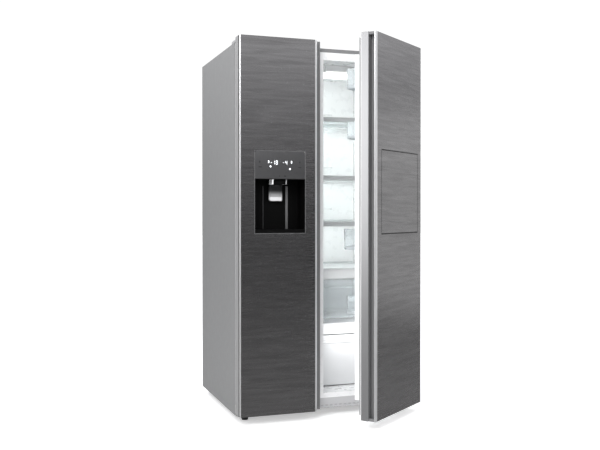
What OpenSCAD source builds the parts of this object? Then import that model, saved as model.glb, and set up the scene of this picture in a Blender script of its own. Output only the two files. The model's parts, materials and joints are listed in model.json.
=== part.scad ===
/* [Cabinet] */
// Width across the cabinet and the closed doors
body_w = 895; // [740:1:1080]
// Height from the floor to the tops of the doors
body_h = 1788; // [1480:1:2150]
// Depth from the closed door fronts to the back panel
body_d = 780; // [640:1:940]
// Width from the left side to the middle of the post between the compartments
freezer_w = 406.5; // [380:0.5:460]
// How far the cabinet's top lies below the door tops
top_step = 21; // [16:1:40]
// Height of the cabinet's underside above the floor
cabinet_lift = 34; // [30:1:45]
// Insulated wall at the sides
side_wall = 45.5; // [36:0.5:56]
// Insulated wall at the top
top_wall = 55; // [40:1:70]
// Insulated wall at the back
rear_wall = 90; // [70:1:110]
// Insulated post between the compartments
post_w = 66; // [50:1:80]
// Height of the compartments' floor above the floor
floor_z = 108; // [95:1:130]
// Depth of the compressor space
machine_d = 280; // [230:1:330]
// Height of the compressor space's ceiling above the floor
machine_z = 285; // [260:1:320]

/* [Doors] */
// Thickness of a door, without its gasket
door_t = 73; // [60:1:88]
// Gap that the gasket fills between a door and the cabinet
seal_gap = 11; // [9:0.5:14]
// Height of the doors' undersides above the floor
door_lift = 42; // [42:1:50]
// Width of the bright strip along each front edge
strip_w = 10; // [9:0.5:16]
// Setback of the left door's front edge from the middle of the post
left_lip_gap = 30; // [24:1:40]
// Setback of the right door's front edge from the middle of the post
right_lip_gap = 4; // [3.5:0.5:10]
// Setback of each door's rear edge from the middle of the post
rear_lip_gap = 3; // [2.5:0.5:5]
// Depth of the full-height finger groove
groove_d = 29; // [22:1:32]
// Width of the finger groove, across the door's thickness
groove_w = 26; // [20:1:30]
// Distance of each hinge pin from the cabinet's side
pin_in = 12.5; // [11:0.5:15]
// Distance of each hinge pin behind the door's front
pin_back = 62; // [50:0.5:76]
// Radius of the hinge pins
pin_r = 5; // [4:0.5:6]
// Angle at which the right door stands open
right_open = 38; // [0:1:90]
// Angle at which the left door stands open
left_open = 0; // [0:1:90]

/* [Dispenser and home bar] */
// Drop from the door tops to the tops of the dispenser and the home bar
hatch_drop = 526; // [480:1:560]
// Height of the dispenser and of the home bar
hatch_h = 379; // [340:1:400]
// Height of the dispenser's control panel
panel_h = 128; // [100:1:150]
// Width of the dispenser
dispenser_w = 244; // [204:1:270]
// Distance of the dispenser from the cabinet's left side
dispenser_in = 72.5; // [60:0.5:90]
// Depth of the dispenser's recess
recess_d = 98; // [84:1:104]
// Margin between the home bar and the door's handle edge
bar_margin_in = 63; // [54:1:76]
// Margin between the home bar and the door's hinge edge
bar_margin_out = 40; // [38:1:60]
// Thickness of the home bar's door
bar_t = 40; // [33:1:44]

/* [Shelves and drawers] */
// Setback of the shelf fronts from the closed door fronts
shelf_front = 220; // [216:1:264]
// Drop from the door tops to the top shelf
shelf_drop = 331; // [300:1:360]
// Height of a shelf's front rim
rim_h = 25; // [20:1:30]
// Height of the cover shelf above the upper crisper
cover_z = 698; // [690:1:760]
// Height of the front band of the cover shelf
cover_band = 54; // [44:1:58]
// Height of the top of the divider between the crispers
divider_z = 424; // [410:1:440]
// Height of the divider's front band
divider_band = 57; // [46:1:60]
// Height of the shallow tray under the top shelf
tray_h = 25; // [20:1:30]
// Travel that the open right door leaves in front of the drawers
drawer_gap = 4; // [3:0.5:6]

/* [Hidden] */
$fn = 48;

eps = 1;             // overrun of every cut
gap = 0.3;           // gap between pieces that move past each other
run = 0.05;          // radial clearance of a running fit
sheet_t = 1;         // steel sheet of the cabinet
skin_t = 1.2;        // steel sheet of the door fronts
liner_t = 2;         // plastic liners
flange_w = 16;       // steel return around the cabinet's front
rail_h = 18;         // steel return along the cabinet's top
sill_h = 24;         // white sill under the compartments

xl = -body_w / 2;
xr = body_w / 2;
post_x = xl + freezer_w;
cab_y = door_t + seal_gap;
cab_z0 = cabinet_lift;
cab_z1 = body_h - top_step;
door_z0 = door_lift;
door_z1 = body_h;
door_back = door_t - liner_t;

cav_z0 = floor_z;
cav_z1 = cab_z1 - top_wall;
cav_y1 = body_d - rear_wall;
frz_x0 = xl + side_wall;
frz_x1 = post_x - post_w / 2;
fri_x0 = post_x + post_w / 2;
fri_x1 = xr - side_wall;
mach_y0 = body_d - machine_d;
step_y = mach_y0 - 40;
step_z = machine_z + 45;
step_rise = 60;
deck_t = 2;          // bottom pan and compressor box

pin_lx = xl + pin_in;
pin_rx = xr - pin_in;
left_lip = freezer_w - left_lip_gap;
left_rear = freezer_w - rear_lip_gap;
right_lip = body_w - freezer_w - right_lip_gap;
right_rear = body_w - freezer_w - rear_lip_gap;
slit = 0.2;             // saw cut between the plain blocks of one long moulding
edge_r = 4;          // round of the bright strips
edge_wall = 3;       // wall of the edge profiles
web_t = 2;           // floor of the finger groove
cap_t = 12;          // end caps
boss_w = 36;         // hinge block in each end cap
boss_h = 44;
pocket_w = 16;       // room around the pin for the hinge arm
arm_t = 3;           // hinge arm
arm_w = 24;
plate_in = 60;          // hinge plate inward of the pin
arm_z = cab_z1;
cover_h = 25;        // plastic cover over each top hinge
cover_w = 74;
cover_in = 10;
pin_len = 30;

dike_w = 22;         // raised rim on the inner side of each door
dike_in = 10;        // its setback from the compartment's walls
dike_d = 52;         // its height above the liner
dike_z0 = cav_z0 + 14;
dike_z1 = cav_z1 - 14;
gasket_w = 14;
gasket_in = 22;
gasket_side = 21.5;

hatch_z1 = door_z1 - hatch_drop;
hatch_z0 = hatch_z1 - hatch_h;
dis_x0 = xl + dispenser_in;
dis_x1 = dis_x0 + dispenser_w;
dis_xm = (dis_x0 + dis_x1) / 2;
dis_z = hatch_z1 - panel_h;
wall = 2.5;          // moulded walls
chute_w = 60;
chute_y0 = 17;
chute_y1 = 60;
chute_z1 = hatch_z1 - 26;
duct_z0 = chute_z1 - 50;
bulge_y = recess_d + 52;
funnel_h = 24;
paddle_y = recess_d - 22;
paddle_z = dis_z - 20;
paddle_w = 65;
paddle_h = 82;
flap_y = chute_y1 - wall;
flap_z = dis_z + 17;

bar_x0 = post_x + rear_lip_gap + bar_margin_in;
bar_x1 = xr - bar_margin_out;
bar_gap = 1.5;       // seam around the home bar's door
bar_pin_y = 6;
bar_pin_z = hatch_z0 + 2 + 12;
bar_pin_r = 3;
bar_ledge = 20;      // stop ledge behind the home bar's door
bar_stop = bar_t + 3;
frame_t = 4;

glass_t = 4.5;
shelf2_share = 0.614; // the middle shelves, between the cover shelf (0) and the top shelf (1)
shelf3_share = 0.31;
shelf_back = cav_y1 - 22;
shelf1 = door_z1 - shelf_drop;
shelf2 = cover_z + (shelf1 - cover_z) * shelf2_share;
shelf3 = cover_z + (shelf1 - cover_z) * shelf3_share;
shelf_tops = [shelf1, shelf2, shelf3];
ledge_w = 12;
ledge_h = 6;
side_gap = 4;
bar_w = 6;
frame_drop = 12;
tray_z1 = shelf1 - rim_h - 2;
tray_y1 = shelf_back - 148;
tray_z0 = tray_z1 - tray_h;
crisper_z1 = cover_z - cover_band - drawer_gap;
crisper_z0 = divider_z + 23;
lower_z1 = divider_z - divider_band - drawer_gap;
lower_z0 = cav_z0 + 4;
drawer_wall = 2.5;
drawer_in = 10;
freezer_top = divider_z;

// Middle of the footprint as the refrigerator stands, at floor level
mid_x = (xl + pin_rx + pin_in * cos(right_open) + pin_back * sin(right_open)) / 2;
tip_x = right_lip - pin_in;
tip_y = pin_back - tip_x * sin(right_open) - pin_back * cos(right_open);
mid_y = (min(0, tip_y) + body_d) / 2;

module blk(a, b) { translate(a) cube([b[0] - a[0], b[1] - a[1], b[2] - a[2]]); }
module rod_x(r, x0, x1, y, z) { translate([x0, y, z]) rotate([0, 90, 0]) cylinder(r = r, h = x1 - x0); }
module rod_y(r, y0, y1, x, z) { translate([x, y0, z]) rotate([-90, 0, 0]) cylinder(r = r, h = y1 - y0); }
module rod_z(r, z0, z1, x, y) { translate([x, y, z0]) cylinder(r = r, h = z1 - z0); }
module side_prism(x0, x1, pts) {
    translate([x0, 0, 0]) rotate([90, 0, 90]) linear_extrude(x1 - x0) polygon(pts);
}

module stand() { translate([-mid_x, -mid_y, 0]) children(); }
module on_right() {
    stand() translate([pin_rx, pin_back, 0]) rotate([0, 0, right_open])
        translate([-pin_rx, -pin_back, 0]) children();
}
module on_left() {
    stand() translate([pin_lx, pin_back, 0]) rotate([0, 0, -left_open])
        translate([-pin_lx, -pin_back, 0]) children();
}
// A door is drawn with its hinge side at x = 0 and its handle side towards -x
module right_door() { translate([xr, 0, 0]) children(); }
module left_door() { translate([xl, 0, 0]) mirror([1, 0, 0]) children(); }

// ---------------------------------------------------------------- cabinet
function cavity(d) = [[cab_y - (d > 0 ? 0 : eps), cav_z0 - d], [step_y + d, cav_z0 - d],
    [step_y + d, step_z - d], [cav_y1 + d, step_z + step_rise - d], [cav_y1 + d, cav_z1 + d],
    [cab_y - (d > 0 ? 0 : eps), cav_z1 + d]];

module cabinet_shell() {
    color([0.57, 0.57, 0.57]) stand() {
        difference() {
            blk([xl, cab_y, cab_z0], [xr, body_d - sheet_t, cab_z1]);
            blk([xl + sheet_t, cab_y - eps, cab_z0 - eps], [xr - sheet_t, body_d, cab_z1 - sheet_t]);
        }
        blk([xl + sheet_t, cab_y, cab_z1 - rail_h], [xr - sheet_t, cab_y + liner_t, cab_z1 - sheet_t]);
        for (s = [0, 1])
            blk([s ? xr - flange_w : xl + sheet_t, cab_y, cav_z0 - sill_h],
                [s ? xr - sheet_t : xl + flange_w, cab_y + liner_t, cab_z1 - rail_h]);
    }
}

module back_panel() {
    color([0.62, 0.62, 0.62]) stand()
        blk([xl, body_d - sheet_t, machine_z + 4], [xr, body_d, cab_z1]);
}

foot_x = 60;
foot_y = cab_y + 46;
boss_r = 12;
foot_r = 5;
roller_r = 17;
roller_y = body_d - 55;
roller_x = 42;
roller_w = 22;
axle_r = 4;

module base_frame() {
    color([0.35, 0.35, 0.36]) stand() difference() {
        union() {
            blk([xl + sheet_t, cab_y + 4, cab_z0], [xr - sheet_t, body_d - 3, cab_z0 + deck_t]);
            blk([xl + sheet_t, mach_y0, cab_z0], [xr - sheet_t, mach_y0 + deck_t, machine_z]);
            blk([xl + sheet_t, mach_y0, machine_z], [xr - sheet_t, body_d - sheet_t, machine_z + deck_t]);
            for (s = [-1, 1]) {
                rod_z(boss_r, 14, cab_z0 + deck_t, s * (xr - foot_x), foot_y);
                for (k = [0, 1])
                    translate([s * (xr - roller_x - (k ? roller_w + 6 : 0)), 0, 0])
                        blk([-1.5, roller_y - 14, roller_r - 7], [1.5, roller_y + 14, cab_z0 + 1]);
            }
        }
        for (s = [-1, 1])
            rod_z(foot_r + run, 0, cab_z0, s * (xr - foot_x), foot_y);
        rod_x(axle_r + run, xl, xr, roller_y, roller_r);
    }
}

module insulation_foam() {
    color([0.93, 0.88, 0.66]) stand() difference() {
        blk([xl + sheet_t, cab_y + liner_t, cab_z0 + deck_t],
            [xr - sheet_t, body_d - sheet_t, cab_z1 - sheet_t]);
        side_prism(frz_x0 - liner_t, frz_x1 + liner_t, cavity(liner_t));
        side_prism(fri_x0 - liner_t, fri_x1 + liner_t, cavity(liner_t));
        blk([xl, mach_y0, 0], [xr, body_d + eps, machine_z + deck_t]);
        blk([frz_x1, cab_y, cav_z0 - sill_h], [fri_x0, cab_y + 4, cav_z1 + 40]);
        blk([xl, cab_y, 0], [xr, cab_y + 4, cav_z0 - sill_h]);
    }
}

module liner(x0, x1, f0, f1) {
    difference() {
        union() {
            side_prism(x0 - liner_t, x1 + liner_t, cavity(liner_t));
            blk([f0, cab_y, cav_z0 - sill_h], [f1, cab_y + liner_t, cab_z1 - rail_h]);
        }
        side_prism(x0, x1, cavity(0));
    }
}
module ledges(x0, x1, y0, y1, top, w, h) {
    blk([x0 - 0.5, y0, top - h], [x0 + w, y1, top]);
    blk([x1 - w, y0, top - h], [x1 + 0.5, y1, top]);
}

frz_room = hatch_z1 - 72 - 40 - freezer_top;
frz_tops = [for (k = [1, 2, 3]) freezer_top + k * frz_room / 4 + 20];
frz_front = 240;

module freezer_liner() {
    color([0.95, 0.95, 0.95]) stand() {
        liner(frz_x0, frz_x1, xl + flange_w, frz_x1 + liner_t);
        for (z = frz_tops)
            ledges(frz_x0, frz_x1, shelf_front + 16, cav_y1 - 80, z - frame_drop, ledge_w, ledge_h);
        ledges(frz_x0, frz_x1, frz_front + 10, step_y - 20, cav_z0 + 4 - gap, 20, 4);
        ledges(frz_x0, frz_x1, bucket_y0 + 10, cav_y1 - 90, bucket_z0, bucket_in + 8, 5);
    }
}

module fridge_liner() {
    color([0.97, 0.97, 0.97]) stand() {
        liner(fri_x0, fri_x1, fri_x0 - liner_t, xr - flange_w);
        for (z = shelf_tops)
            ledges(fri_x0, fri_x1, shelf_front + 16, shelf_back, z - frame_drop, ledge_w, ledge_h);
        ledges(fri_x0, fri_x1, shelf_front + 16, shelf_back, cover_z - frame_drop, ledge_w, ledge_h);
        ledges(fri_x0, fri_x1, shelf_front + 16, shelf_back, divider_z - frame_drop, ledge_w, ledge_h);
        ledges(fri_x0, fri_x1, shelf_front + 10, shelf_back - 10, crisper_z0 - gap, 22, 10);
        ledges(fri_x0, fri_x1, shelf_front + 10, step_y - 12, lower_z0 - gap, 22, 4);
        ledges(fri_x0, fri_x1, shelf_front + 4, tray_y1 + 20, tray_z1 - 3 - gap, ledge_w, 5);
    }
}

module post_cover() {
    color([0.94, 0.94, 0.94]) stand()
        blk([frz_x1 + liner_t, cab_y, cav_z0 - sill_h], [fri_x0 - liner_t, cab_y + 4, cab_z1 - rail_h]);
}

module toe_grille() {
    color([0.75, 0.75, 0.75]) stand() difference() {
        blk([xl + boss_w, cab_y, cab_z0 + 2], [xr - boss_w, cab_y + 4, cav_z0 - sill_h]);
        for (x = [xl + 90:24:xr - 100])
            blk([x, cab_y - eps, cab_z0 + 10], [x + 14, cab_y + 4 + eps, cab_z0 + 16]);
    }
}

// ---------------------------------------------------------------- hinges
module hinge_pair() {
    px = pin_rx;
    // top arm on the cabinet, with its pin pointing down into the door
    blk([px - arm_w / 2, pin_back, arm_z], [px + arm_w / 2, cab_y + 10, arm_z + arm_t]);
    rod_z(arm_w / 2, arm_z, arm_z + arm_t, px, pin_back);
    blk([px - plate_in, cab_y + 2, arm_z], [xr - cover_in - wall - gap, cab_y + 80, arm_z + arm_t]);
    rod_z(pin_r, arm_z + arm_t - pin_len, arm_z + arm_t, px, pin_back);
    // bottom bracket on the base, with its pin pointing up
    blk([px - arm_w / 2, pin_back, door_z0 - 6], [xr - sheet_t, cab_y + 4, door_z0 - 2]);
    rod_z(arm_w / 2, door_z0 - 6, door_z0 - 2, px, pin_back);
    blk([px - arm_w / 2, cab_y, door_z0 - 6], [xr - sheet_t, cab_y + 4, cav_z0 - sill_h - 2]);
    rod_z(pin_r, door_z0 - 6, door_z0 + pin_len - 6, px, pin_back);
}

module door_hinges() {
    color([0.7, 0.71, 0.72]) stand() {
        hinge_pair();
        mirror([1, 0, 0]) hinge_pair();
    }
}

module hinge_covers() {
    color([0.72, 0.72, 0.72]) stand() for (s = [0, 1])
        mirror([s, 0, 0]) difference() {
            blk([xr - cover_in - cover_w, cab_y + 4, arm_z], [xr - cover_in, cab_y + 112, arm_z + cover_h]);
            blk([xr - cover_in - cover_w + wall, cab_y + 4 + wall, arm_z - eps],
                [xr - cover_in - wall, cab_y + 112 - wall, arm_z + cover_h - wall]);
            blk([pin_rx - plate_in - gap, cab_y, arm_z - eps], [xr, cab_y + 14, arm_z + arm_t + gap]);
        }
}

// ---------------------------------------------------------------- compressor space
valve_x = xr - 90;
valve_z = 200;
module water_valve() {
    color([0.9, 0.9, 0.9]) stand() {
        blk([valve_x - 20, body_d - 60, valve_z - 20], [valve_x + 20, body_d - 22, valve_z + 20]);
        blk([valve_x - 30, body_d - 60, valve_z + 16], [valve_x + 30, body_d - 56, machine_z]);
        difference() {
            rod_y(13.2, body_d - 23, body_d - 1, valve_x, valve_z);
            rod_y(9, body_d - 20, body_d, valve_x, valve_z);
        }
    }
}

inlet_x = xr - 180;
inlet_z = 110;
module power_inlet() {
    color([0.15, 0.15, 0.15]) stand() difference() {
        union() {
            rod_y(14, body_d - 6, body_d - 3, inlet_x, inlet_z);
            rod_y(9, body_d - 20, body_d - 0.5, inlet_x, inlet_z);
        }
        rod_y(4.5, body_d - 24, body_d, inlet_x, inlet_z);
    }
}

comp_x = 170;
comp_y = (mach_y0 + body_d) / 2;
comp_r = 80;
module compressor() {
    color([0.12, 0.12, 0.13]) stand() {
        translate([comp_x, comp_y, 60]) {
            cylinder(r1 = comp_r - 26, r2 = comp_r, h = 26);
            translate([0, 0, 26]) cylinder(r = comp_r, h = 80);
            translate([0, 0, 106]) cylinder(r1 = comp_r, r2 = comp_r - 34, h = 34);
        }
        blk([comp_x - 96, comp_y - 70, 56], [comp_x + 96, comp_y + 70, 60.5]);
        for (a = [-1, 1], b = [-1, 1])
            rod_z(13, cab_z0 + deck_t, 56.5, comp_x + a * 80, comp_y + b * 54);
        blk([comp_x + comp_r - 8, comp_y - 24, 90], [comp_x + comp_r + 22, comp_y + 24, 150]);
    }
}

cond_x0 = xl + 50;
cond_x1 = xl + 230;
module condenser() {
    color([0.15, 0.15, 0.16]) stand() {
        for (x = [cond_x0:9:cond_x1])
            blk([x, comp_y - 75, cab_z0 + deck_t + 8], [x + 0.8, comp_y + 75, 226]);
        for (j = [0:2], k = [0:4])
            rod_x(4, cond_x0 - 6, cond_x1 + 8, comp_y - 50 + 50 * j, 68 + 34 * k);
        for (x = [cond_x0 - 6, cond_x1 + 5])
            blk([x, comp_y - 80, cab_z0 + deck_t], [x + 3, comp_y + 80, 232]);
    }
}

fan1_x = cond_x1 + 40;
fan_r = 66;
fan_z = 140;
fan2_x = (frz_x0 + frz_x1) / 2;
fan2_z = cav_z1 - 320;
fan2_r = 52;
module fan_motors() {
    color([0.2, 0.2, 0.22]) stand() {
        rod_x(24, fan1_x + 22, fan1_x + 60, comp_y, fan_z);
        rod_x(3, fan1_x - 8, fan1_x + 24, comp_y, fan_z);
        blk([fan1_x + 36, comp_y - 12, cab_z0 + deck_t], [fan1_x + 46, comp_y + 12, fan_z]);
        rod_y(22, cav_y1 - 30, cav_y1, fan2_x, fan2_z);
        rod_y(3, cav_y1 - 54, cav_y1 - 28, fan2_x, fan2_z);
    }
}

module fan_wheel(r, h) {
    difference() {
        union() {
            cylinder(r = 14, h = h);
            for (a = [0:72:359])
                rotate([0, 0, a]) translate([8, 0, h / 2]) rotate([28, 0, 0])
                    translate([0, -16, -0.8]) cube([r - 8, 32, 1.6]);
        }
        translate([0, 0, -eps]) cylinder(r = 3 + run, h = h + 2 * eps);
        translate([0, 0, -30]) difference() {
            cylinder(r = r + 20, h = 60 + h);
            translate([0, 0, -eps]) cylinder(r = r, h = 60 + h + 2 * eps);
        }
    }
}

module condenser_fan() {
    color([0.1, 0.1, 0.1]) stand()
        translate([fan1_x - 6, comp_y, fan_z]) rotate([0, 90, 0]) fan_wheel(fan_r, 14);
}

module evaporator_fan() {
    color([0.85, 0.85, 0.85]) stand()
        translate([fan2_x, cav_y1 - 52, fan2_z]) rotate([-90, 0, 0]) fan_wheel(fan2_r, 14);
}

module machine_cover() {
    color([0.5, 0.5, 0.5]) stand() difference() {
        blk([xl + sheet_t, body_d - 3, cab_z0 + deck_t + 12], [xr - sheet_t, body_d - 1, machine_z]);
        for (x = [xl + 40:18:xr - 260], k = [0:4])
            blk([x, body_d - 4, 76 + 38 * k], [x + 10, body_d, 100 + 38 * k]);
        rod_y(20, body_d - 5, body_d, valve_x, valve_z);
        rod_y(9 + gap / 2, body_d - 5, body_d, inlet_x, inlet_z);
    }
}

// ---------------------------------------------------------------- freezer fittings
evap_z0 = 640;
evap_h = 300;
evap_y = cav_y1 - 46;
module evaporator() {
    color([0.8, 0.82, 0.84]) stand() {
        for (k = [0:11])
            blk([frz_x0 + 34, evap_y, evap_z0 + k * evap_h / 12],
                [frz_x1 - 34, cav_y1 - 6, evap_z0 + 1.2 + k * evap_h / 12]);
        for (x = [frz_x0 + 30, frz_x1 - 32])
            blk([x, evap_y - 4, evap_z0 - 10], [x + 3, cav_y1, evap_z0 + evap_h + 10]);
        for (j = [0, 1], k = [0:3])
            rod_x(4, frz_x0 + 26, frz_x1 - 26, evap_y + 9 + 20 * j, evap_z0 + 24 + k * evap_h / 4);
    }
}

cover_y = cav_y1 - 68;
cover_z0 = step_z + step_rise + 30;
cover_z1 = cav_z1 - 60;
module evaporator_cover() {
    color([0.93, 0.93, 0.93]) stand() difference() {
        blk([frz_x0 + 2, cover_y, cover_z0], [frz_x1 - 2, cav_y1, cover_z1]);
        blk([frz_x0 + 2 + wall, cover_y + wall, cover_z0 + wall],
            [frz_x1 - 2 - wall, cav_y1 + eps, cover_z1 - wall]);
        for (x = [frz_x0 + 50:22:frz_x1 - 60], z = [cover_z0 + 60, evap_z0 + evap_h + 60])
            blk([x, cover_y - eps, z], [x + 12, cover_y + 3, z + 30]);
        for (a = [0:45:359])
            rod_y(9, cover_y - eps, cover_y + 3, fan2_x + 32 * cos(a), fan2_z + 32 * sin(a));
    }
}

module fridge_duct() {
    dx = (fri_x0 + fri_x1) / 2;
    color([0.95, 0.95, 0.95]) stand() difference() {
        blk([dx - 78, cav_y1 - 15, divider_z + 60], [dx + 78, cav_y1, cav_z1 - 50]);
        for (z = shelf_tops, s = [-1, 1])
            blk([dx + s * 44 - 24, cav_y1 - 16, z + 60], [dx + s * 44 + 24, cav_y1 - 8, z + 68]);
    }
}

module lamp_housings() {
    color([0.96, 0.96, 0.96]) stand() {
        blk([fri_x0 + 60, cab_y + 116, cav_z1 - 30], [fri_x1 - 60, cab_y + 330, cav_z1]);
        blk([frz_x0 + 90, cab_y + 116, cav_z1 - 24], [frz_x1 - 90, cab_y + 230, cav_z1]);
    }
}

module lamp_lenses() {
    color([1, 1, 0.95]) stand() {
        blk([fri_x0 + 76, cab_y + 130, cav_z1 - 34], [fri_x1 - 76, cab_y + 316, cav_z1 - 30]);
        blk([frz_x0 + 104, cab_y + 128, cav_z1 - 28], [frz_x1 - 104, cab_y + 218, cav_z1 - 24]);
    }
}

module shelf_frame(x0, x1, y0, y1, top, rim) {
    blk([x0, y0, top - rim], [x1, y0 + 14, top]);
    blk([x0, y1 - 10, top - frame_drop], [x1, y1, top]);
    blk([x0, y0, top - frame_drop], [x0 + bar_w, y1, top - 1]);
    blk([x1 - bar_w, y0, top - frame_drop], [x1, y1, top - 1]);
}

module shelf_glass() {
    color([0.75, 0.88, 0.88, 0.5]) stand() for (z = shelf_tops)
        blk([fri_x0 + side_gap + bar_w, shelf_front + 14, z - 4 - glass_t],
            [fri_x1 - side_gap - bar_w, shelf_back - 10, z - 4]);
}

module shelf_trims() {
    color([0.9, 0.92, 0.92]) stand() for (z = shelf_tops)
        shelf_frame(fri_x0 + side_gap, fri_x1 - side_gap, shelf_front, shelf_back, z, rim_h);
}

module crisper_cover() {
    color([0.92, 0.93, 0.93]) stand() {
        shelf_frame(fri_x0 + side_gap, fri_x1 - side_gap, shelf_front, shelf_back, cover_z, cover_band);
        blk([fri_x0 + side_gap + bar_w - 1, shelf_front + 13, cover_z - 8],
            [fri_x1 - side_gap - bar_w + 1, shelf_back - 9, cover_z - 3]);
    }
}

module drawer_divider() {
    color([0.93, 0.93, 0.93]) stand() {
        shelf_frame(fri_x0 + side_gap, fri_x1 - side_gap, shelf_front, shelf_back, divider_z, divider_band);
        blk([fri_x0 + side_gap + bar_w - 1, shelf_front + 13, divider_z - 8],
            [fri_x1 - side_gap - bar_w + 1, shelf_back - 9, divider_z - 3]);
    }
}

module freezer_shelves() {
    color([0.85, 0.9, 0.9]) stand() for (z = frz_tops) {
        shelf_frame(frz_x0 + side_gap, frz_x1 - side_gap, shelf_front, cav_y1 - 78, z, 24);
        blk([frz_x0 + side_gap + bar_w - 1, shelf_front + 13, z - 8],
            [frz_x1 - side_gap - bar_w + 1, cav_y1 - 87, z - 4]);
    }
}

bucket_z0 = hatch_z1 - 12;
bucket_in = 40;
bucket_x0 = frz_x0 + bucket_in;
bucket_x1 = frz_x1 - bucket_in;
bucket_y0 = bulge_y + 55;
bucket_y1 = cav_y1 - 110;
auger_z = bucket_z0 + 46;
module ice_maker() {
    color([0.8, 0.8, 0.82]) stand() {
        difference() {
            blk([bucket_x0 - 8, bucket_y0 + 95, bucket_z0 + 260],
                [bucket_x1 - 40, bucket_y1, bucket_z0 + 320]);
            for (y = [bucket_y0 + 107:34:bucket_y1 - 34])
                blk([bucket_x0, y, bucket_z0 + 272], [bucket_x1 - 48, y + 26, bucket_z0 + 321]);
        }
        blk([bucket_x0 - 8, bucket_y0 + 35, bucket_z0 + 250],
            [bucket_x1 - 40, bucket_y0 + 95.5, bucket_z0 + 330]);
        blk([bucket_x0 - 8, bucket_y1 - 4, bucket_z0 + 230], [bucket_x1 + 10, cover_y, bucket_z0 + 336]);
        blk([dis_xm - 40, bucket_y1 + 4, auger_z - 34], [dis_xm + 40, cover_y, auger_z + 40]);
        blk([dis_xm - 12, bucket_y1 + 4, auger_z + 30], [dis_xm + 12, cover_y, bucket_z0 + 240]);
    }
}

module ice_bucket() {
    color([0.85, 0.88, 0.9]) stand() difference() {
        union() {
            blk([bucket_x0, bucket_y0, bucket_z0], [bucket_x1, bucket_y1, bucket_z0 + 190]);
            blk([dis_xm - 36, bulge_y + 5, duct_z0 - 4], [dis_xm + 36, bucket_y0 + 45, bucket_z0 + 1]);
        }
        blk([bucket_x0 + 3, bucket_y0 + 3, bucket_z0 + 3], [bucket_x1 - 3, bucket_y1 - 3, bucket_z0 + 200]);
        blk([dis_xm - 33, bulge_y, duct_z0], [dis_xm + 33, bucket_y0 + 42, bucket_z0 - 3]);
        blk([dis_xm - 33, bucket_y0 + 3, duct_z0], [dis_xm + 33, bucket_y0 + 42, bucket_z0 + 10]);
        rod_y(6 + run, bucket_y1 - 10, bucket_y1 + 10, dis_xm, auger_z);
    }
}

module ice_auger() {
    color([0.75, 0.76, 0.78]) stand() {
        rod_y(6, bucket_y0 + 9, bucket_y1 + 4 - gap, dis_xm, auger_z);
        for (y = [bucket_y0 + 17:26:bucket_y1 - 21])
            translate([dis_xm, y, auger_z]) rotate([0, 1.6 * y, 0]) blk([-5, 0, 0], [5, 5, 38]);
    }
}

module foot(s) {
    rod_z(16, 0, 8, s * (xr - foot_x), foot_y);
    rod_z(foot_r, 7, cab_z0 - 4, s * (xr - foot_x), foot_y);
}
module foot_left() { color([0.1, 0.1, 0.1]) stand() foot(-1); }
module foot_right() { color([0.1, 0.1, 0.1]) stand() foot(1); }

module rear_rollers() {
    color([0.12, 0.12, 0.12]) stand() {
        rod_x(axle_r, xl + roller_x - 6, xr - roller_x + 6, roller_y, roller_r);
        for (s = [-1, 1])
            translate([s * (xr - roller_x - 3 - roller_w / 2), 0, 0])
                rod_x(roller_r, -roller_w / 2, roller_w / 2, roller_y, roller_r);
    }
}

// ---------------------------------------------------------------- drawers
module shallow_tray() {
    x0 = fri_x0 + ledge_w + 2;
    x1 = fri_x1 - ledge_w - 2;
    color([0.85, 0.9, 0.92, 0.6]) stand() difference() {
        union() {
            blk([x0, shelf_front, tray_z0], [x1, tray_y1, tray_z1]);
            blk([x0 - 8, shelf_front + 6, tray_z1 - 3], [x1 + 8, tray_y1, tray_z1]);
        }
        blk([x0 + drawer_wall, shelf_front + drawer_wall, tray_z0 + drawer_wall],
            [x1 - drawer_wall, tray_y1 - drawer_wall, tray_z1 + eps]);
    }
}

module drawer(x0, x1, y0, y1, z0, z1, grip) {
    difference() {
        union() {
            blk([x0, y0 + 4, z0], [x1, y1, z1 - 6]);
            blk([x0 - 3, y0, z0 + 1], [x1 + 3, y0 + 6, z1]);
            blk([x0 + 20, y0 - 8, z1 - grip], [x1 - 20, y0 + 1, z1 - grip + 10]);
        }
        blk([x0 + drawer_wall, y0 + 6, z0 + drawer_wall], [x1 - drawer_wall, y1 - drawer_wall, z1 + eps]);
    }
}

module crisper_drawer() {
    color([0.85, 0.9, 0.9, 0.6]) stand()
        drawer(fri_x0 + drawer_in, fri_x1 - drawer_in, shelf_front,
               shelf_back - 12, crisper_z0, crisper_z1, 43);
}
module lower_drawer() {
    color([0.95, 0.95, 0.95]) stand()
        drawer(fri_x0 + drawer_in, fri_x1 - drawer_in, shelf_front, step_y - 12, lower_z0, lower_z1, 40);
}
module freezer_drawer() {
    color([0.88, 0.9, 0.92]) stand()
        drawer(frz_x0 + drawer_in, frz_x1 - drawer_in, frz_front,
               step_y - 12, cav_z0 + 4, freezer_top - 10, 40);
}

// ---------------------------------------------------------------- doors
module hinge_pocket() {
    blk([-pin_in - pocket_w, pin_back - 32, arm_z - 3], [eps, door_t + eps, door_z1 + eps]);
}
module hinge_blocks() {
    for (t = [0, 1])
        blk([-boss_w, pin_back - 40, t ? door_z1 - cap_t - boss_h : door_z0 + cap_t - 0.5],
            [-edge_wall, door_back, t ? door_z1 - cap_t + 0.5 : door_z0 + boss_h]);
}
module door_core(lip, rear, za, zb) {
    g = lip - groove_d;
    difference() {
        union() {
            blk([web_t - g, skin_t, za], [-edge_wall, door_back, zb]);
            blk([edge_wall - rear, 2 * edge_r + groove_w + edge_wall, za], [web_t - g + 0.01, door_back, zb]);
        }
        blk([-strip_w, -eps, za - eps], [eps, 2 * edge_r, zb + eps]);
        blk([-edge_wall - 2, 0, za - eps], [eps, 2 * edge_r + 3, zb + eps]);
    }
}
module cut_x(x, y0, y1, z0, z1) { blk([x, y0, z0], [x + slit, y1, z1]); }
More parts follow.
